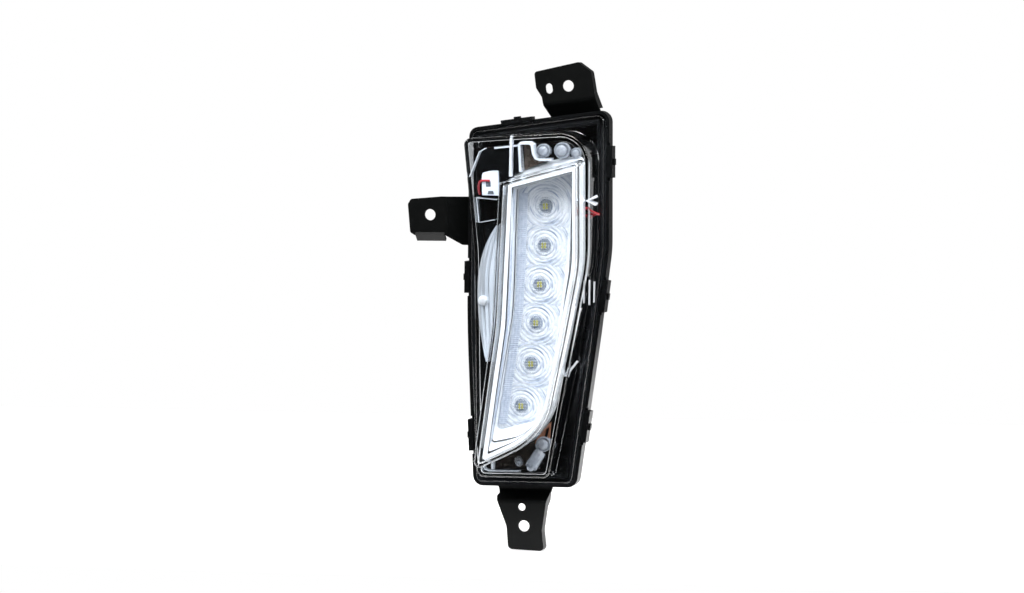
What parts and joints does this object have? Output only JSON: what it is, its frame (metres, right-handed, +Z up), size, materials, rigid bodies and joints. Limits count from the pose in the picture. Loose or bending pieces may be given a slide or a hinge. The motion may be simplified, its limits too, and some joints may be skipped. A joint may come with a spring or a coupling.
{
  "type": "daytime running light",
  "caption": "Upright daytime running light with a stepped clear lens, a black tub housing, an emitter optic and three steel fixing brackets.",
  "frame": {"origin": "centre of the round upper fixing hole, on the front face of the upper bracket", "axes": "+X to the right as seen from the front, +Y back into the car, +Z up; the lens looks along -Y"},
  "size_m": [0.1363, 0.123, 0.3095],
  "materials": {
    "black_pp": "fine grained, matt",
    "sealant": "smooth",
    "clear_lens": "clear, polished",
    "silver_bezel": "metallised, satin",
    "clear_optic": "clear, ringed",
    "steel_screw": "zinc plated",
    "carrier": "dark metallised",
    "board": "white solder resist",
    "emitter": "phosphor under clear resin",
    "chip": "moulded epoxy",
    "pad": "matt",
    "aluminium": "extruded",
    "black_panel": "smooth",
    "mirror": "metallised",
    "white_plug": "smooth",
    "red_insulation": "smooth",
    "black_insulation": "smooth",
    "brass_terminal": "plated",
    "vent_cap": "matt",
    "bracket_steel": "black e-coat, satin"
  },
  "bodies": {
    "root": {"rear_housing": "black_pp", "lens_sealant": "sealant", "outer_lens": "clear_lens", "front_bezel": "silver_bezel", "inner_optic": "clear_optic", "optic_screws": "steel_screw", "carrier_plate": "carrier", "carrier_screws": "steel_screw", "circuit_board": "board", "led_packages": "emitter", "driver_parts": "chip", "thermal_pad": "pad", "heat_sink": "aluminium", "board_screws": "steel_screw", "side_panel": "black_panel", "side_reflector": "mirror", "reflector_screw": "steel_screw", "wire_plug": "white_plug", "wire_clip": "white_plug", "red_wire": "red_insulation", "black_wire": "black_insulation", "socket_terminals": "brass_terminal", "breather_cap": "vent_cap", "upper_bracket": "bracket_steel", "left_bracket": "bracket_steel", "lower_bracket": "bracket_steel", "bracket_screws": "steel_screw"}
  },
  "joints": []
}
